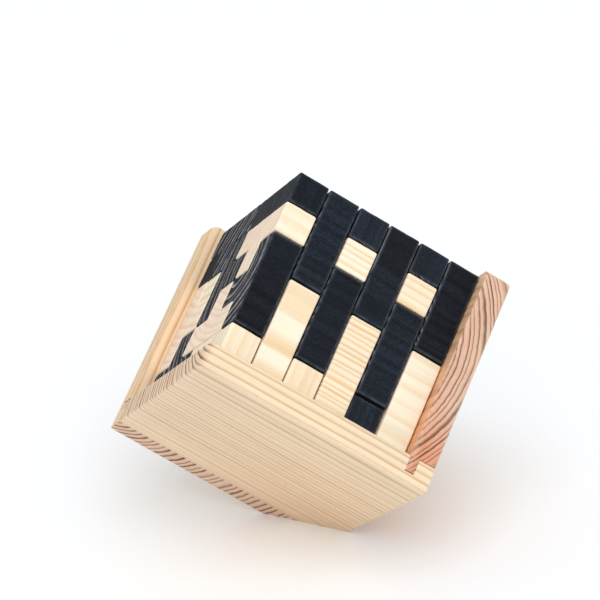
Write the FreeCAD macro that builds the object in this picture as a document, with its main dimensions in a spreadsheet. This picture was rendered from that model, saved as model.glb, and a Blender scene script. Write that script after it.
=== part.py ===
import FreeCAD, Part
import math
import os

# A wooden packing puzzle: 54 T-shaped pieces fill a cube of 6 by 6 by 6 cells, and the cube lies in
# a tray of three grooved boards. The tray's outer corner is sawn off, and the puzzle stands on the
# small triangular foot that this leaves, with the cube's body diagonal upright.
#
# The corner frame has its origin at the tray's inner corner. Its X, Y and Z run along the three
# inner edges, out of the tray: X out to the left, Y out to the front and Z out to the top.
# The model's own frame has its origin on the ground under the middle of the foot, and Z is up.

SHEET_VALUES = {
    "cell_size": 11.0,
    "cells_a_side": 6,
    "play": 0.3,
    "board_thickness": 8.8,
    "left_lip": 4.2,
    "front_lip": 4.8,
    "top_lip": 1.2,
    "tongue_thickness": 3.0,
    "tongue_depth": 5.2,
    "glue_gap": 0.1,
    "foot_cut": 22.0,
    "board_round": 0.8,
}

# The packed cube, one layer of cells after another from the base board up. In each layer the first
# line lies along the back board and the last one is the front face. Each line runs from the left face
# to the right board. B is a black piece and N a natural one.
PACKING = [
    """
    B13 N07 N22 N10 N27 B19
    B13 B20 N22 B23 N27 N26
    B13 B20 N22 B23 N27 N26
    N14 B20 N21 B23 B26 N26
    N14 N14 N21 N21 B26 B26
    N14 N15 N21 N19 B26 N25
    """,
    """
    N06 N07 B16 N10 B18 B19
    B13 N07 N22 N10 N27 B19
    N05 B20 B22 B23 N24 N26
    N05 N16 B22 N20 N24 B27
    N05 N15 B22 N19 N24 N25
    B12 N15 B21 N19 B24 N25
    """,
    """
    N06 N07 B16 N10 B18 B19
    N06 N03 B16 B15 B18 N13
    B04 N16 N18 N20 B25 B27
    N05 N16 B22 N20 N24 B27
    B12 N16 B21 N20 B24 B27
    B12 N15 B21 N19 B24 N25
    """,
    """
    N06 B06 B16 N09 B18 N12
    N03 N03 B15 B15 N13 N13
    B04 B08 N18 B10 B25 N04
    B04 B08 N18 B10 B25 N04
    N01 B08 N17 B10 N23 N04
    B12 B07 B21 B09 B24 B11
    """,
    """
    B06 B06 N09 N09 N12 N12
    B05 N03 B14 B15 B17 N13
    B04 N02 N18 N08 B25 N11
    N01 B08 N17 B10 N23 N04
    N01 B07 N17 B09 N23 B11
    N01 B07 N17 B09 N23 B11
    """,
    """
    B05 B06 B14 N09 B17 N12
    B05 N02 B14 N08 B17 N11
    B05 N02 B14 N08 B17 N11
    B01 N02 B02 N08 B03 N11
    B01 B01 B02 B02 B03 B03
    B01 B07 B02 B09 B03 B11
    """,
]
COLOUR_NAMES = {"B": "black", "N": "natural"}

# Each board is the one before it turned a third of a turn about the body diagonal.
# The lips say how far it reaches past the cube along its length and along its width.
BOARDS = [
    ("base_board", 0, "left_lip", "front_lip"),
    ("right_board", 1, "front_lip", "top_lip"),
    ("back_board", 2, "top_lip", "left_lip"),
]


def make_sheet(doc):
    """The driving dimensions, each in a cell with a name of its own."""
    sheet = doc.addObject("Spreadsheet::Sheet", "sheet")
    for row, (alias, value) in enumerate(SHEET_VALUES.items(), start=1):
        sheet.set(f"A{row}", alias)
        sheet.set(f"B{row}", str(value))
        sheet.setAlias(f"B{row}", alias)
    doc.recompute()
    return sheet


def corner_placement(sheet):
    """Where the corner frame lies in the model: its diagonal upright, its foot on the ground."""
    out_left = FreeCAD.Vector(-2, 0, math.sqrt(2)) / math.sqrt(6)
    out_front = FreeCAD.Vector(1, -math.sqrt(3), math.sqrt(2)) / math.sqrt(6)
    out_top = FreeCAD.Vector(1, math.sqrt(3), math.sqrt(2)) / math.sqrt(6)
    turn = FreeCAD.Matrix(
        out_left.x, out_front.x, out_top.x, 0,
        out_left.y, out_front.y, out_top.y, 0,
        out_left.z, out_front.z, out_top.z, 0,
        0, 0, 0, 1,
    )
    height = (3 * sheet.board_thickness - sheet.foot_cut) / math.sqrt(3)
    return FreeCAD.Placement(FreeCAD.Vector(0, 0, height), FreeCAD.Rotation(turn))


def read_packing():
    """Each piece's cells in the corner frame, counted from the tray's inner corner."""
    cells = {}
    for level, layer in enumerate(PACKING):
        lines = layer.split("\n")[1:-1]
        for from_back, line in enumerate(lines):
            codes = line.split()
            for from_left, code in enumerate(codes):
                cell = FreeCAD.Vector(len(codes) - 1 - from_left, from_back, level)
                cells.setdefault(code, []).append(cell)
    return cells


def piece_placement(cells, cell_size):
    """A T piece's place in the corner frame: its bar along its own X and its stem along its own Y."""
    for middle in cells:
        others = [cell - middle for cell in cells if cell != middle]
        if len(others) == 3 and all(abs(step.Length - 1) < 0.01 for step in others):
            break
    else:
        raise ValueError(f"these cells make no T: {cells}")
    stem = next(step for step in others if all(step != -other for other in others))
    bar = next(step for step in others if step != stem)
    place = (middle + FreeCAD.Vector(0.5, 0.5, 0.5)) * cell_size
    return FreeCAD.Placement(place, FreeCAD.Rotation(bar, stem, bar.cross(stem), "XYZ"))


def make_block(doc, name, spans):
    """A box in the corner frame. spans are its low and high ends along X, Y and Z, as expressions."""
    box = doc.addObject("Part::Box", name)
    for side, axis, (low, high) in zip(("Length", "Width", "Height"), "xyz", spans):
        box.setExpression(side, f"({high}) - ({low})")
        box.setExpression(f"Placement.Base.{axis}", low)
    return box


def make_piece(doc, label, placement):
    """One T piece: a bar three cells long and a stem of one cell that meets its middle face to face.
    Each outer side is short of its cells by half the play."""
    half = "(sheet.cell_size - sheet.play) / 2"
    end = "(3 * sheet.cell_size - sheet.play) / 2"
    thickness = (f"-{half}", half)
    bar = make_block(doc, label + "_bar", [(f"-{end}", end), (f"-{half}", half), thickness])
    stem = make_block(doc, label + "_stem", [(f"-{half}", half), (half, end), thickness])
    piece = doc.addObject("Part::Compound", label)
    piece.Links = [bar, stem]
    piece.Label = label
    piece.Placement = placement
    return piece


def make_foot_cutter(doc, sheet, corner):
    """Everything below the ground, for sawing the tray's outer corner off."""
    side = 4 * sheet.foot_cut
    cutter = doc.addObject("Part::Box", "below_ground")
    for length in ("Length", "Width", "Height"):
        cutter.setExpression(length, "4 * sheet.foot_cut")
    ground = FreeCAD.Placement(FreeCAD.Vector(-side / 2, -side / 2, -side), FreeCAD.Rotation())
    cutter.Placement = corner.inverse() * ground
    return cutter


def free_edges(shape, sheet):
    """The board's edges that no other board meets: round its free end and side, and its outer face."""
    thickness = sheet.board_thickness
    box = shape.BoundBox
    edges = []
    for number, edge in enumerate(shape.Edges, start=1):
        middle = edge.CenterOfMass
        at_front = abs(middle.y - box.YMax) < 0.01
        at_free_end = abs(middle.x - box.XMax) < 0.01 and middle.y > 1
        at_sawn_end = abs(middle.x - box.XMin) < 0.01 and abs(middle.z + thickness) < 0.01
        if at_front or at_free_end or at_sawn_end:
            edges.append((number, sheet.board_round, sheet.board_round))
    return edges


def make_board(doc, sheet, corner, cutter, label, thirds, long_lip, short_lip):
    """A tray board, drawn as the base board and then turned. Its tongue lies along its back edge,
    flush with its inner face, and a groove in its inner face takes the next board's tongue."""
    cube = "sheet.cells_a_side * sheet.cell_size"
    free_end = f"{cube} + sheet.{long_lip}"
    free_side = f"{cube} + sheet.{short_lip}"
    down = "-sheet.board_thickness"
    plank = make_block(doc, label + "_plank", [(down, free_end), ("0", free_side), (down, "0")])
    doc.recompute()
    rounded = doc.addObject("Part::Fillet", label + "_rounded")
    rounded.Base = plank
    rounded.Edges = free_edges(plank.Shape, sheet)
    tongue_side = ("-sheet.tongue_thickness", "0")
    tongue = make_block(
        doc, label + "_tongue", [("0", free_end), ("-sheet.tongue_depth", "sheet.glue_gap"), tongue_side]
    )
    joined = doc.addObject("Part::Fuse", label + "_joined")
    joined.Base = rounded
    joined.Tool = tongue
    groove = make_block(doc, label + "_groove", [
        ("-sheet.tongue_thickness - sheet.glue_gap", "0"),
        ("-sheet.glue_gap", free_side + " + sheet.glue_gap"),
        ("-sheet.tongue_depth - sheet.glue_gap", "sheet.glue_gap"),
    ])
    grooved = doc.addObject("Part::Cut", label + "_grooved")
    grooved.Base = joined
    grooved.Tool = groove
    doc.recompute()
    to_corner = FreeCAD.Rotation(FreeCAD.Vector(1, 1, 1), 120 * thirds)
    saw = doc.addObject("Part::Box", label + "_saw")
    for length in ("Length", "Width", "Height"):
        saw.setExpression(length, f"{cutter.Name}.{length}")
    saw.Placement = FreeCAD.Placement(FreeCAD.Vector(), to_corner.inverted()) * cutter.Placement
    board = doc.addObject("Part::Cut", label)
    board.Base = grooved
    board.Tool = saw
    board.Label = label
    board.Placement = corner * FreeCAD.Placement(FreeCAD.Vector(), to_corner)
    return board


def check(doc, subparts):
    """Stops the script if anything in the document failed or a sub-part has no sound shape."""
    for thing in doc.Objects:
        if "Invalid" in thing.State or "Error" in thing.State:
            raise RuntimeError(f"{thing.Label} did not build: {thing.State}")
    for subpart in subparts:
        shape = subpart.Shape
        blocks = 2 if subpart.TypeId == "Part::Compound" else 1
        if shape.isNull() or not shape.isValid() or len(shape.Solids) != blocks:
            raise RuntimeError(f"{subpart.Label} is not sound")


def main():
    doc = FreeCAD.newDocument("t_piece_cube_puzzle")
    sheet = make_sheet(doc)
    corner = corner_placement(sheet)
    cutter = make_foot_cutter(doc, sheet, corner)
    subparts = [make_board(doc, sheet, corner, cutter, *board) for board in BOARDS]
    for code, cells in sorted(read_packing().items()):
        label = f"{COLOUR_NAMES[code[0]]}_piece_{code[1:]}"
        placement = corner * piece_placement(cells, sheet.cell_size)
        subparts.append(make_piece(doc, label, placement))
    doc.recompute()
    check(doc, subparts)
    os.makedirs("parts", exist_ok=True)
    for subpart in subparts:
        subpart.Shape.exportStep(f"parts/{subpart.Label}.step")


main()
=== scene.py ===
import bpy
import bmesh
import math
import random
from mathutils import Matrix, Quaternion, Vector, noise


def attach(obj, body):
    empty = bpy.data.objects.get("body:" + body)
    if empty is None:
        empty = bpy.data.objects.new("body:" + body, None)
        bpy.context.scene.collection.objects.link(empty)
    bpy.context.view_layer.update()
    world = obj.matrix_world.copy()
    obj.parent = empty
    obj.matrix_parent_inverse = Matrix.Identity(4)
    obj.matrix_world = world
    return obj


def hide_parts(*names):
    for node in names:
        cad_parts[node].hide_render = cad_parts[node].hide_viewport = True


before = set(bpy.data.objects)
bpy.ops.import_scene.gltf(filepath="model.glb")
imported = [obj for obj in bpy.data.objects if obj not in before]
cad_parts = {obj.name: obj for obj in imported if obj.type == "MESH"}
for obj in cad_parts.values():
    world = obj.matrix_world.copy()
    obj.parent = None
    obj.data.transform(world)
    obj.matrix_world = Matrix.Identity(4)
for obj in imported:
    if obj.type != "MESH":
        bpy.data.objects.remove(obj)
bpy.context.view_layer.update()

MM = 0.001

# A direction counts as along a way above the first of these shares, and as across it below the second.
ALONG = 0.9
ACROSS = 0.1

# The tray's three inner edges, as ways out of the tray: the cube's body diagonal stands upright.
OUT_LEFT = Vector((-2, 0, math.sqrt(2))) / math.sqrt(6)
OUT_FRONT = Vector((1, -math.sqrt(3), math.sqrt(2))) / math.sqrt(6)
OUT_TOP = Vector((1, math.sqrt(3), math.sqrt(2))) / math.sqrt(6)
WAYS = (OUT_LEFT, OUT_FRONT, OUT_TOP)


# ---------------------------------------------------------------- measuring the frame

def span(points, way):
    """The lowest and highest place of some points along a way."""
    along = [point.dot(way) for point in points]
    return min(along), max(along)


def corners(node):
    """All the corners of a CAD node."""
    return [vertex.co.copy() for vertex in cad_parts[node].data.vertices]


def lie_of_piece(node):
    """A T piece's place: its bar along X, its stem along Y, and its own middle cell at the origin."""
    points = corners(node)
    spans = {index: span(points, way) for index, way in enumerate(WAYS)}
    by_size = sorted(spans, key=lambda index: spans[index][1] - spans[index][0])
    thin, deep, long = by_size
    low, high = spans[long]
    near = 2 * MM
    at_ends = [p for p in points if not low + near <= p.dot(WAYS[long]) <= high - near]
    bar_low, bar_high = span(at_ends, WAYS[deep])
    middle = (bar_low + bar_high) / 2
    stem_way = 1 if sum(spans[deep]) / 2 > middle else -1
    bar = WAYS[long]
    stem = WAYS[deep] * stem_way
    across = bar.cross(stem)
    centre = bar * (low + high) / 2 + WAYS[deep] * middle + WAYS[thin] * sum(spans[thin]) / 2
    turn = Matrix((bar, stem, across)).transposed()
    return Matrix.Translation(centre) @ turn.to_4x4()


def cell_side():
    """The side of one cell of a piece: its thickness."""
    points = corners("black_piece_01")
    return min(high - low for low, high in (span(points, way) for way in WAYS))


def bar_length():
    """The length of a piece's bar, which is three cells."""
    points = corners("black_piece_01")
    return max(high - low for low, high in (span(points, way) for way in WAYS))


SIDE = cell_side()
LENGTH = bar_length()
CELL = (LENGTH - SIDE) / 2

# The corner where the boards' inner faces meet, straight above the middle of the foot.
INNER_CORNER = Vector((0, 0, span(corners("base_board"), OUT_TOP)[1] * math.sqrt(3)))


# ---------------------------------------------------------------- modelling helpers

SMOOTH_BELOW = math.radians(35)


def alone(thing):
    """Deselects everything but one object and makes it the one that operators act on."""
    bpy.ops.object.select_all(action="DESELECT")
    thing.select_set(True)
    bpy.context.view_layer.objects.active = thing


def new_block(name, low, high):
    """A block between two corners, with its place in its mesh."""
    bpy.ops.object.select_all(action="DESELECT")
    middle = (Vector(low) + Vector(high)) / 2
    bpy.ops.mesh.primitive_cube_add(size=1, location=middle)
    block = bpy.context.object
    block.name = name
    block.scale = Vector(high) - Vector(low)
    bpy.ops.object.transform_apply(location=True, rotation=True, scale=True)
    return block


def cut_faces(block, point, normal, **options):
    """Cuts all of a block's faces along a plane."""
    alone(block)
    bpy.ops.object.mode_set(mode="EDIT")
    bpy.ops.mesh.select_all(action="SELECT")
    bpy.ops.mesh.bisect(plane_co=point, plane_no=normal, **options)
    bpy.ops.object.mode_set(mode="OBJECT")


def select_faces(block, wanted):
    """Selects the faces whose middle and normal the test accepts, in face mode."""
    alone(block)
    bpy.ops.object.mode_set(mode="EDIT")
    bpy.ops.mesh.select_mode(type="FACE")
    mesh = bmesh.from_edit_mesh(block.data)
    for face in mesh.faces:
        face.select_set(bool(wanted(face.calc_center_median(), face.normal)))
    bmesh.update_edit_mesh(block.data)


def apply_modifier(thing, kind, **settings):
    """Adds a modifier with some settings and applies it."""
    alone(thing)
    modifier = thing.modifiers.new(kind.title(), kind)
    for key, value in settings.items():
        setattr(modifier, key, value)
    bpy.ops.object.modifier_apply(modifier=modifier.name)


def shade_smooth(thing):
    """Shades a thing's faces as one surface except across its sharp edges."""
    alone(thing)
    bpy.ops.object.shade_smooth_by_angle(angle=SMOOTH_BELOW)


def dress(thing, material):
    """Gives a thing one material and nothing else."""
    thing.data.materials.clear()
    thing.data.materials.append(material)


# ---------------------------------------------------------------- wood on the meshes

SWELL_SIZE = 6 * MM
KNOCK_SIZE = 2.6 * MM
UNKNOCKED = 0.2
MEAN_SANDING = 0.6
FARTHEST_DRIFT = 50


def write_attribute(mesh, name, kind, domain, values):
    """A new attribute with one value for each point or face."""
    attribute = mesh.attributes.new(name, kind, domain)
    if kind == "FLOAT_VECTOR":
        attribute.data.foreach_set("vector", [number for value in values for number in value])
    else:
        attribute.data.foreach_set("value", values)


def no_resin_or_shade(point):
    """Clean wood: no resin and no painted shade anywhere."""
    return 0.0


def mark_wood(mesh, place_in_log, grain, nature, closeness, resin_and_shade=no_resin_or_shade):
    """Writes where each point lay in its log, which faces are end grain, how the log grew, how near
    each point is to an edge that is both worn and lightened by a painted highlight, and how much resin,
    or on the base board painted shade, colours it. The log's length is Z. nature is the width of a
    year's ring in metres, how warm the wood is and how strong its rings show."""
    points = [vertex.co.copy() for vertex in mesh.vertices]
    ends = [abs(face.normal.dot(grain)) ** 2 for face in mesh.polygons]
    places = [place_in_log(point) for point in points]
    write_attribute(mesh, "place_in_log", "FLOAT_VECTOR", "POINT", places)
    write_attribute(mesh, "nature", "FLOAT_VECTOR", "POINT", [nature] * len(points))
    write_attribute(mesh, "wear_and_highlight", "FLOAT", "POINT", [closeness(point) for point in points])
    write_attribute(mesh, "resin_and_shade", "FLOAT", "POINT", [resin_and_shade(point) for point in points])
    write_attribute(mesh, "end_grain", "FLOAT", "FACE", ends)


def wear(mesh, chance, closeness, sanding, nicks):
    """Sands a mesh's faces unevenly and knocks its edges: every point sinks a little into the wood."""
    drift = Vector([chance.uniform(-FARTHEST_DRIFT, FARTHEST_DRIFT) for _ in range(3)])
    normals = [vertex.normal.copy() for vertex in mesh.vertices]
    for vertex, normal in zip(mesh.vertices, normals):
        swell = noise.noise(vertex.co / SWELL_SIZE + drift)
        knock = max(0.0, noise.noise(vertex.co / KNOCK_SIZE - drift) - UNKNOCKED)
        sink = sanding * (MEAN_SANDING + swell) + nicks * knock * closeness(vertex.co)
        vertex.co -= normal * sink


# ---------------------------------------------------------------- the T pieces

EASED_EDGE = 0.6 * MM
EASED_ABOVE = math.radians(50)
CUTS_A_CELL = 8
# How far from an edge the knocks and the lighter edge colour reach; that lighter colour is partly wear,
# partly a painted highlight.
WORN_AND_HIGHLIT_PIECE_EDGE = 1.2 * EASED_EDGE
PIECE_SANDING = 0.08 * MM
PIECE_NICKS = 0.35 * MM
PIECE_LEAN = 0.4
LEAST_SHRUNK, MOST_SHRUNK = 0.002, 0.014

# How the wood lies in the pieces that show most: the pith's direction from the piece's bar, in degrees
# towards its stem, its distance in mm, the width of a year's ring in mm, warmth and contrast.
CHOSEN_WOOD = {
    "natural_piece_15": (-78, 46, 3.4, 0.0, 0.75),
    "natural_piece_19": (-8, 60, 1.9, 0.3, 1.0),
    "natural_piece_25": (-30, 60, 5.0, 0.0, 0.4),
    "natural_piece_17": (-60, 30, 2.4, 0.0, 0.7),
    "natural_piece_23": (-70, 34, 3.0, 0.4, 0.7),
    "natural_piece_01": (35, 40, 3.2, 0.2, 0.35),
    "natural_piece_14": (65, 50, 3.6, 0.3, 0.4),
    "natural_piece_21": (80, 40, 3.8, 0.6, 0.4),
    "natural_piece_05": (70, 60, 2.6, 0.6, 0.3),
    "natural_piece_06": (20, 50, 3.4, 0.8, 0.3),
    "natural_piece_03": (20, 50, 3.4, 0.0, 0.6),
    "black_piece_04": (84, 70, 3.2, 0.0, 1.0),
    "black_piece_05": (28, 70, 3.6, 0.0, 1.0),
    "black_piece_12": (60, 14, 3.6, 0.0, 0.9),
    "black_piece_01": (85, 60, 2.6, 0.0, 0.0),
    "black_piece_06": (30, 40, 3.4, 0.0, 0.6),
    "black_piece_13": (40, 40, 3.0, 0.0, 0.7),
    "black_piece_02": (10, 40, 1.2, 1.0, 0.5),
    "black_piece_03": (30, 50, 1.1, 0.8, 0.5),
    "black_piece_26": (20, 45, 1.2, 1.0, 0.5),
    "black_piece_11": (-60, 30, 2.2, 0.0, 1.0),
}

# How much shorter than the others some bars are, as a share of their length.
SHORT_BARS = {"black_piece_26": 0.08}


def model_t_piece():
    """The T that every piece is copied from: a bar with a stem drawn out of its middle cell."""
    half = SIDE / 2
    piece = new_block("t_piece", (-LENGTH / 2, -half, -half), (LENGTH / 2, half, half))
    for place in (-half, half):
        cut_faces(piece, (place, 0, 0), (1, 0, 0))
    select_faces(piece, lambda middle, normal: normal.y > ALONG and abs(middle.x) < half)
    bpy.ops.mesh.extrude_region_move(TRANSFORM_OT_translate={"value": (0, CELL, 0)})
    bpy.ops.mesh.select_all(action="SELECT")
    bpy.ops.mesh.subdivide(number_cuts=CUTS_A_CELL)
    bpy.ops.object.mode_set(mode="OBJECT")
    apply_modifier(
        piece, "BEVEL", width=EASED_EDGE, segments=3, limit_method="ANGLE", angle_limit=EASED_ABOVE
    )
    return piece


def closeness_to_edge(point):
    """1 on an outer edge of the T and 0 well inside its faces."""
    half = SIDE / 2
    beside_stem = abs(point.x) < half + EASED_EDGE
    on_stem = beside_stem and point.y > half + EASED_EDGE / 2
    x_side = half if on_stem else LENGTH / 2
    y_side = half + CELL if beside_stem and point.y > 0 else half
    gaps = sorted((abs(x_side - abs(point.x)), abs(y_side - abs(point.y)), abs(half - abs(point.z))))
    return max(0.0, 1 - gaps[1] / WORN_AND_HIGHLIT_PIECE_EDGE)


def wood_for(node, chance):
    """Where a piece's pith lies and how its wood grew: chosen for some pieces, by chance for the rest."""
    if node in CHOSEN_WOOD:
        way, distance, ring, warmth, contrast = CHOSEN_WOOD[node]
    else:
        way, distance = chance.uniform(0, 360), chance.uniform(25, 70)
        ring, warmth, contrast = chance.uniform(1.6, 4), chance.uniform(0, 1), chance.uniform(0.3, 1)
    pith = Vector((math.cos(math.radians(way)), math.sin(math.radians(way)))) * distance * MM
    return pith, (ring * MM, warmth, contrast)


def make_piece(node, master, material):
    """A finished T piece in the place of its CAD node. Its grain runs through its thickness, because
    such pieces are sliced from one long T-shaped moulding."""
    chance = random.Random(node)
    mesh = master.data.copy()
    piece = bpy.data.objects.new(node + "_wood", mesh)
    bpy.context.scene.collection.objects.link(piece)
    pith, nature = wood_for(node, chance)
    start = chance.uniform(0, 1)
    mark_wood(
        mesh, lambda p: Vector((p.x - pith.x, p.y - pith.y, p.z + start)),
        Vector((0, 0, 1)), nature, closeness_to_edge,
    )
    wear(mesh, chance, closeness_to_edge, PIECE_SANDING, PIECE_NICKS)
    lean = Vector([chance.uniform(-1, 1) for _ in range(3)])
    tilt = Matrix.Rotation(math.radians(chance.uniform(-PIECE_LEAN, PIECE_LEAN)), 4, lean)
    size = 1 - chance.uniform(LEAST_SHRUNK, MOST_SHRUNK)
    fit = Matrix.Diagonal((size - SHORT_BARS.get(node, 0.0), size, size, 1))
    mesh.transform(lie_of_piece(node) @ tilt @ fit)
    dress(piece, material)
    shade_smooth(piece)
    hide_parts(node)
    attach(piece, node)


# ---------------------------------------------------------------- the tray's boards

TONGUE_THICKNESS = 3.0 * MM
TONGUE_DEPTH = 5.2 * MM
GLUE_GAP = 0.1 * MM
GLUE_POCKET = 0.35 * MM
BOARD_EDGE = 0.9 * MM
BOARD_CORNER = 3.0 * MM
# How far from an edge the knocks and the lighter edge colour reach; that lighter colour is partly wear,
# partly a painted highlight.
WORN_AND_HIGHLIT_BOARD_EDGE = 1.5 * BOARD_EDGE
BOARD_SANDING = 0.02 * MM
BOARD_NICKS = 0.25 * MM
WEAR_STEP = 4 * MM
NEAR = 0.01 * MM


def round_edges(block, wanted, radius, segments):
    """Rounds the edges whose middle and direction the test accepts."""
    alone(block)
    bpy.ops.object.mode_set(mode="EDIT")
    bpy.ops.mesh.select_mode(type="EDGE")
    bpy.ops.mesh.select_all(action="DESELECT")
    mesh = bmesh.from_edit_mesh(block.data)
    for edge in mesh.edges:
        ends = [vertex.co for vertex in edge.verts]
        edge.select_set(bool(wanted((ends[0] + ends[1]) / 2, (ends[1] - ends[0]).normalized())))
    bmesh.update_edit_mesh(block.data)
    bpy.ops.mesh.bevel(offset=radius, segments=segments, affect="EDGES")
    bpy.ops.object.mode_set(mode="OBJECT")


def model_board(name, length, width, thickness, inner_round):
    """A tray board in its own frame: length X, width Y, inner face up at Z = 0. A tongue runs along
    its back edge, and a groove beside its sawn end takes the next board's tongue."""
    board = new_block(name, (-thickness, 0, -thickness), (length, width, 0))
    round_edges(
        board,
        lambda middle, way: (
            abs(way.z) > ALONG and middle.x > length - NEAR and middle.y > width - NEAR
        ),
        BOARD_CORNER, 5,
    )
    if inner_round:
        round_edges(
            board,
            lambda middle, way: abs(way.x) > ALONG and middle.y > width - NEAR and middle.z > -NEAR,
            inner_round, 4,
        )

    def is_free_edge(middle, way):
        outer = middle.z < -thickness / 2 or not inner_round
        at_end = middle.x > length - BOARD_CORNER
        at_side = middle.y > width - BOARD_CORNER
        return abs(way.z) < ACROSS and outer and (at_side or at_end) and middle.y > MM

    round_edges(board, is_free_edge, BOARD_EDGE, 3)
    cut_faces(board, (0, 0, 0), (1, 0, 0))
    cut_faces(board, (0, 0, -TONGUE_THICKNESS), (0, 0, 1))
    select_faces(
        board,
        lambda middle, normal: normal.y < -ALONG and middle.x > 0 and middle.z > -TONGUE_THICKNESS,
    )
    bpy.ops.mesh.extrude_region_move(TRANSFORM_OT_translate={"value": (0, -TONGUE_DEPTH, 0)})
    bpy.ops.object.mode_set(mode="OBJECT")
    groove_low = (-TONGUE_THICKNESS - GLUE_GAP, -MM, -TONGUE_DEPTH - GLUE_POCKET)
    groove = new_block("groove", groove_low, (0, width + MM, MM))
    apply_modifier(board, "BOOLEAN", object=groove, operation="DIFFERENCE", solver="EXACT")
    bpy.data.objects.remove(groove)
    return board


def cut_for_wear(board, length, width):
    """Cuts a board's faces into short stretches, so that its faces and edges can be worn unevenly."""
    for end, way in ((length, Vector((1, 0, 0))), (width, Vector((0, 1, 0)))):
        for step in range(1, int(end / WEAR_STEP)):
            cut_faces(board, way * step * WEAR_STEP, way)


def make_board(node, ways, pith, nature, material, inner_round=0.0, resin_and_shade=no_resin_or_shade):
    """A finished board. ways are its length, its width and its inner face's way out. pith is where the
    log's heart lies across the board, in its own Y and Z."""
    points = [point - INNER_CORNER for point in corners(node)]
    (_, length), (_, width), (bottom, _) = (span(points, way) for way in ways)
    board = model_board(node + "_wood", length, width, -bottom, inner_round)
    to_frame = Matrix.Translation(INNER_CORNER) @ Matrix(ways).transposed().to_4x4()
    to_board = to_frame.inverted()
    up = (to_board.to_3x3() @ Vector((0, 0, 1))).normalized()
    cut_faces(board, to_board @ Vector((0, 0, 0)), up, clear_inner=True, use_fill=True)
    cut_for_wear(board, length, width)

    def closeness(point):
        to_face = min(abs(point.z), abs(point.z - bottom))
        gaps = sorted((abs(length - point.x), abs(width - point.y), to_face))
        return max(0.0, 1 - gaps[1] / WORN_AND_HIGHLIT_BOARD_EDGE)

    mark_wood(
        board.data, lambda p: Vector((p.y - pith[0], p.z - pith[1], p.x + pith[2])),
        Vector((1, 0, 0)), nature, closeness, resin_and_shade,
    )
    wear(board.data, random.Random(node), closeness, BOARD_SANDING, BOARD_NICKS)
    board.data.transform(to_frame)
    dress(board, material)
    shade_smooth(board)
    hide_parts(node)
    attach(board, "tray")


# ---------------------------------------------------------------- wood

class Finish:
    """A material under construction: each method adds one node and returns its output."""

    def __init__(self, name):
        self.material = bpy.data.materials.new(name)
        self.material.use_nodes = True
        self.nodes = self.material.node_tree.nodes
        self.links = self.material.node_tree.links
        self.shader = self.nodes["Principled BSDF"]

    def feed(self, socket, value):
        """Joins an output to a socket, or sets the socket to a plain value."""
        if isinstance(value, bpy.types.NodeSocket):
            self.links.new(value, socket)
        else:
            socket.default_value = value

    def attribute(self, name, output):
        """What the mesh says under a name."""
        node = self.nodes.new("ShaderNodeAttribute")
        node.attribute_name = name
        return node.outputs[output]

    def math(self, operation, first, second=0.0, third=0.0, clamp=False):
        """A sum, product or other working on numbers."""
        node = self.nodes.new("ShaderNodeMath")
        node.operation = operation
        node.use_clamp = clamp
        for socket, value in zip(node.inputs, (first, second, third)):
            self.feed(socket, value)
        return node.outputs[0]

    def vector(self, operation, first, second, output="Vector"):
        """A working on vectors."""
        node = self.nodes.new("ShaderNodeVectorMath")
        node.operation = operation
        self.feed(node.inputs[0], first)
        self.feed(node.inputs[1], second)
        return node.outputs[output]

    def noise(self, place, stretch, detail=2.0, roughness=0.5):
        """Noise whose cells are one unit long after the place is stretched."""
        node = self.nodes.new("ShaderNodeTexNoise")
        self.feed(node.inputs["Vector"], self.vector("MULTIPLY", place, stretch))
        node.inputs["Scale"].default_value = 1
        node.inputs["Detail"].default_value = detail
        node.inputs["Roughness"].default_value = roughness
        return node.outputs["Fac"]

    def noise_along(self, value, scale):
        """Smooth noise of one number."""
        node = self.nodes.new("ShaderNodeTexNoise")
        node.noise_dimensions = "1D"
        self.feed(node.inputs["W"], value)
        node.inputs["Scale"].default_value = scale
        node.inputs["Detail"].default_value = 1
        return node.outputs["Fac"]

    def chance_of(self, value):
        """A number from 0 to 1 that belongs to a value."""
        node = self.nodes.new("ShaderNodeTexWhiteNoise")
        node.noise_dimensions = "1D"
        self.feed(node.inputs["W"], value)
        return node.outputs["Value"]

    def ramp(self, value, *stops):
        """A grey that follows stops of a place and a brightness."""
        node = self.nodes.new("ShaderNodeValToRGB")
        elements = node.color_ramp.elements
        while len(elements) < len(stops):
            elements.new(0.5)
        for element, (place, bright) in zip(elements, stops):
            element.position = place
            element.color = (bright, bright, bright, 1)
        self.feed(node.inputs["Fac"], value)
        return node.outputs["Color"]

    def mix(self, share, first, second, blend="MIX"):
        """Two colours laid over each other by a share from 0 to 1."""
        node = self.nodes.new("ShaderNodeMix")
        node.data_type = "RGBA"
        node.blend_type = blend
        self.feed(node.inputs[0], share)
        self.feed(node.inputs[6], first)
        self.feed(node.inputs[7], second)
        return node.outputs[2]

    def separate(self, value):
        """A vector's three numbers."""
        node = self.nodes.new("ShaderNodeSeparateXYZ")
        self.feed(node.inputs[0], value)
        return node.outputs

    def bump(self, height, distance, strength):
        """A relief as deep as a distance."""
        node = self.nodes.new("ShaderNodeBump")
        node.inputs["Strength"].default_value = strength
        node.inputs["Distance"].default_value = distance
        self.feed(node.inputs["Height"], height)
        return node.outputs["Normal"]


def shade(red, green, blue):
    """A colour given as it is seen, 0 to 255, made linear."""
    linear = [((c / 255 + 0.055) / 1.055) ** 2.4 for c in (red, green, blue)]
    return (*linear, 1)


RING_WANDER = 2.2 * MM
RING_WAVER = 0.8 * MM
GOOD_SPELL_YEARS = 1.5
GRAIN_RELIEF = 0.07 * MM
# The orange tint of resin, which also serves as painted shade on the base board's outer side.
RESIN_AND_SHADE_STRENGTH = 0.75
RESIN_AND_SHADE_TINT = shade(244, 176, 132)
FADED_DYE = (2.1, 2.1, 2.0, 1)
NO_TINT = (1, 1, 1, 1)


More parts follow.
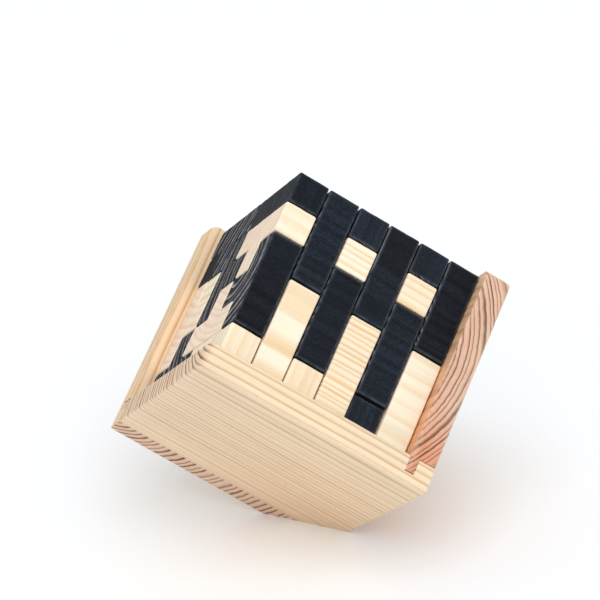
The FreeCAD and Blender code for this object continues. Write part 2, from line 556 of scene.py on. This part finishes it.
def wood_finish(
    name, spring, summer, end_spring, end_summer, summer_share, streaks, speckle, dullness, gloss,
    rub_and_highlight, rub_and_highlight_strength, warm=NO_TINT, end_warm=NO_TINT,
):
    """Softwood sawn from a log: rings about the pith, fibres along it, open pores on the end grain.
    spring and summer are the pale and the dark wood of one year's ring, warm and end_warm tint a warmer
    log's wood along its sides and on its ends, and the edge colour lightens its edges: partly rubbed
    wear, partly a painted highlight."""
    finish = Finish(name)
    place = finish.attribute("place_in_log", "Vector")
    end = finish.attribute("end_grain", "Fac")
    nature = finish.separate(finish.attribute("nature", "Vector"))
    ring_width, warmth, contrast = nature[0], nature[1], nature[2]

    # rings: the distance from the pith, a little uneven all round and along the log, in years
    wander = finish.noise(place, (45, 45, 9), detail=2)
    waver = finish.noise(place, (240, 240, 34), detail=2)
    across = finish.vector("MULTIPLY", place, (1, 1, 0))
    radius = finish.vector("LENGTH", across, (0, 0, 0), "Value")
    radius = finish.math("MULTIPLY_ADD", wander, RING_WANDER, radius)
    radius = finish.math("MULTIPLY_ADD", waver, RING_WAVER, radius)
    years = finish.math("DIVIDE", radius, ring_width)
    good_spell = finish.noise_along(years, 0.35)
    years = finish.math("MULTIPLY_ADD", good_spell, GOOD_SPELL_YEARS, years)
    part_of_year = finish.math("FRACT", years)

    # each year's dark wood comes on slowly and ends sharply, and some years are darker than others
    rise = finish.ramp(
        part_of_year, (0.0, 0.1), (0.06, 0.0), (1 - summer_share, 0.05),
        (0.84, 1.0), (0.95, 1.0), (1.0, 0.1),
    )
    strength = finish.math("MULTIPLY_ADD", finish.chance_of(finish.math("FLOOR", years)), 0.45, 0.55)
    late = finish.math("MULTIPLY", rise, strength)

    fibre = finish.noise(place, (1500, 1500, 45), detail=3, roughness=0.6)
    long_streak = finish.noise(place, (420, 420, 10), detail=3, roughness=0.55)
    cloud = finish.noise(place, (60, 60, 25), detail=2)
    pores = finish.noise(place, (2600, 2600, 900), detail=2, roughness=0.7)

    side_colour = finish.mix(finish.math("MULTIPLY", late, contrast), spring, summer)
    side_colour = finish.mix(warmth, side_colour, finish.mix(1.0, side_colour, warm, "MULTIPLY"))
    end_contrast = finish.math("MULTIPLY_ADD", contrast, 1.1, 0.08, clamp=True)
    end_colour = finish.mix(finish.math("MULTIPLY", late, end_contrast), end_spring, end_summer)
    end_colour = finish.mix(warmth, end_colour, finish.mix(1.0, end_colour, end_warm, "MULTIPLY"))
    colour = finish.mix(end, side_colour, end_colour)
    # Resin tints the right board orange; on the base board's outer side the same tint is painted shade.
    resin_and_shade = finish.math("MULTIPLY", finish.attribute("resin_and_shade", "Fac"), RESIN_AND_SHADE_STRENGTH)
    colour = finish.mix(resin_and_shade, colour, RESIN_AND_SHADE_TINT, "MULTIPLY")

    shading = (
        (long_streak, (0.3, 1 - streaks), (0.7, 1 + streaks * 0.35)),
        (fibre, (0.3, 1 - streaks * 0.6), (0.75, 1 + streaks * 0.3)),
        (cloud, (0.3, 0.94), (0.7, 1.03)),
        (pores, (0.32, 1 - speckle), (0.68, 1 + speckle)),
    )
    for pattern, dark, light in shading:
        colour = finish.mix(1.0, colour, finish.ramp(pattern, dark, light), "MULTIPLY")

    # Edges lightened in patches towards the edge colour: partly rubbed wear, partly a painted highlight.
    patchy = finish.ramp(finish.noise(place, (600, 600, 250), detail=2), (0.34, 0.3), (0.6, 1.0))
    wear_and_highlight = finish.math("MULTIPLY", finish.attribute("wear_and_highlight", "Fac"), patchy)
    wear_and_highlight = finish.math("MULTIPLY", wear_and_highlight, rub_and_highlight_strength, clamp=True)
    colour = finish.mix(wear_and_highlight, colour, rub_and_highlight)
    finish.feed(finish.shader.inputs["Base Color"], colour)

    roughness = finish.ramp(fibre, (0.25, dullness - 0.08), (0.8, dullness + 0.12))
    roughness = finish.math("MULTIPLY_ADD", end, 0.14, roughness)
    finish.feed(finish.shader.inputs["Roughness"], roughness)
    finish.shader.inputs["Specular IOR Level"].default_value = gloss

    relief = finish.math("MULTIPLY", late, 0.35)
    relief = finish.math("ADD", relief, finish.math("MULTIPLY", fibre, 0.8))
    relief = finish.math("ADD", relief, finish.math("MULTIPLY", long_streak, 0.6))
    relief = finish.math("ADD", relief, finish.math("MULTIPLY", pores, 0.5))
    finish.feed(finish.shader.inputs["Normal"], finish.bump(relief, GRAIN_RELIEF, 0.8))
    return finish.material


natural_wood = wood_finish(
    "pale_softwood",
    spring=shade(245, 236, 212), summer=shade(232, 190, 132),
    end_spring=shade(248, 227, 204), end_summer=shade(214, 168, 132),
    summer_share=0.6, streaks=0.06, speckle=0.03, dullness=0.52, gloss=0.3,
    rub_and_highlight=shade(250, 240, 220), rub_and_highlight_strength=0.5, warm=shade(255, 236, 220),
)
black_wood = wood_finish(
    "black_stained_softwood",
    spring=shade(20, 26, 36), summer=shade(10, 13, 18),
    end_spring=shade(17, 17, 21), end_summer=shade(164, 163, 169),
    summer_share=0.55, streaks=0.45, speckle=0.55, dullness=0.68, gloss=0.15,
    rub_and_highlight=shade(96, 103, 114), rub_and_highlight_strength=0.7, warm=FADED_DYE,
)
tray_wood = wood_finish(
    "tray_softwood",
    spring=shade(239, 220, 190), summer=shade(206, 165, 116),
    end_spring=shade(240, 210, 178), end_summer=shade(66, 34, 24),
    summer_share=0.5, streaks=0.05, speckle=0.03, dullness=0.5, gloss=0.3,
    rub_and_highlight=shade(250, 238, 214), rub_and_highlight_strength=0.3, warm=shade(255, 238, 222),
    end_warm=(0.84, 0.69, 0.7, 1),
)


# ---------------------------------------------------------------- building it

RESIN_TOP = 38 * MM
RESIN_FADE = 20 * MM
RESIN_DEPTH = 1.5 * MM
SOAKED_TOP = 20 * MM
SOAKED_FADE = 16 * MM
# How deep into the base board and how far from the foot the painted shade reaches.
PAINTED_SHADE_DEPTH = 8 * MM
PAINTED_SHADE_REACH = 60 * MM


def from_0_to_1(value):
    """A value kept between 0 and 1."""
    return max(0.0, min(1.0, value))


def resin_at_foot_of_right_board(point):
    """Orange wood on the board's inner side, which fades towards its top and into its thickness. At
    the foot it goes right through."""
    low = from_0_to_1((RESIN_TOP - point.y) / RESIN_FADE)
    soaked = from_0_to_1((SOAKED_TOP - point.y) / SOAKED_FADE)
    inside = from_0_to_1(1 + point.z / RESIN_DEPTH)
    return max(inside * (0.45 + 0.55 * low), soaked * 0.85)


def painted_shade_on_base_board(point):
    """Painted shade: the base board's outer side, which faces the floor, is darkened with an orange tint,
    most of all towards the foot.
    """
    outside = from_0_to_1(-point.z / PAINTED_SHADE_DEPTH)
    near_foot = from_0_to_1(1 - math.hypot(point.x, point.y) / PAINTED_SHADE_REACH)
    return outside ** 2 * (0.08 + 0.16 * near_foot)


t_piece = model_t_piece()
for node in sorted(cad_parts):
    if "_piece_" in node:
        make_piece(node, t_piece, black_wood if node.startswith("black") else natural_wood)
bpy.data.objects.remove(t_piece)

make_board(
    "base_board", (OUT_LEFT, OUT_FRONT, OUT_TOP),
    pith=(80 * MM, 21 * MM, 0.2), nature=(2.0 * MM, 0.12, 0.8), material=tray_wood,
    resin_and_shade=painted_shade_on_base_board,
)
make_board(
    "right_board", (OUT_FRONT, OUT_TOP, OUT_LEFT),
    pith=(31 * MM, 46 * MM, 0.5), nature=(1.6 * MM, 0.9, 1.0), material=tray_wood,
    inner_round=2.2 * MM, resin_and_shade=resin_at_foot_of_right_board,
)
make_board(
    "back_board", (OUT_TOP, OUT_LEFT, OUT_FRONT),
    pith=(78 * MM, 4 * MM, 0.8), nature=(2.2 * MM, 0.6, 0.95), material=tray_wood,
)


# ---------------------------------------------------------------- floor, light and camera

FLOOR_SIDE = 8
FLOOR_COLOUR = (0.935, 0.965, 1.0, 1)


def add_floor():
    """A plain pale floor that the foot stands on."""
    bpy.ops.object.select_all(action="DESELECT")
    bpy.ops.mesh.primitive_plane_add(size=FLOOR_SIDE, location=(0, 0, 0))
    floor = bpy.context.object
    floor.name = "floor"
    paint = bpy.data.materials.new("white_floor")
    paint.use_nodes = True
    shader = paint.node_tree.nodes["Principled BSDF"]
    shader.inputs["Base Color"].default_value = FLOOR_COLOUR
    shader.inputs["Roughness"].default_value = 0.6
    floor.data.materials.append(paint)


def add_window(name, way_to_light, strength, softness):
    """Broad daylight from one side, the same everywhere. softness is its width in degrees."""
    lamp = bpy.data.lights.new(name, "SUN")
    lamp.energy = strength
    lamp.angle = math.radians(softness)
    window = bpy.data.objects.new(name, lamp)
    window.rotation_euler = Vector(way_to_light).to_track_quat("Z", "Y").to_euler()
    bpy.context.scene.collection.objects.link(window)


def add_sky(strength):
    """Even white light from all around."""
    world = bpy.data.worlds.new("white_tent")
    world.use_nodes = True
    background = world.node_tree.nodes["Background"]
    background.inputs["Color"].default_value = (1, 1, 1, 1)
    background.inputs["Strength"].default_value = strength
    bpy.context.scene.world = world


def add_camera(place, azimuth, elevation, roll, lens):
    """A camera that looks along an azimuth (0 is +Y), tipped down by an elevation and rolled a little."""
    lens_data = bpy.data.cameras.new("camera")
    lens_data.lens = lens
    lens_data.sensor_width = 36
    lens_data.clip_start = 0.01
    lens_data.clip_end = 20
    camera = bpy.data.objects.new("camera", lens_data)
    turn, tip = math.radians(azimuth), math.radians(elevation)
    look = Vector((math.sin(turn) * math.cos(tip), math.cos(turn) * math.cos(tip), -math.sin(tip)))
    camera.rotation_mode = "QUATERNION"
    lean = Quaternion((0, 0, 1), -math.radians(roll))
    camera.rotation_quaternion = look.to_track_quat("-Z", "Y") @ lean
    camera.location = place
    bpy.context.scene.collection.objects.link(camera)
    bpy.context.scene.camera = camera


add_floor()
add_sky(0.73)
add_window("key_window", way_to_light=(0.04, -0.6, 0.8), strength=1.42, softness=60)
add_camera(
    place=(0.00688, -0.84160, 0.43689), azimuth=-0.637, elevation=23.341, roll=3.011, lens=177.18
)
bpy.context.scene.view_settings.view_transform = "Standard"
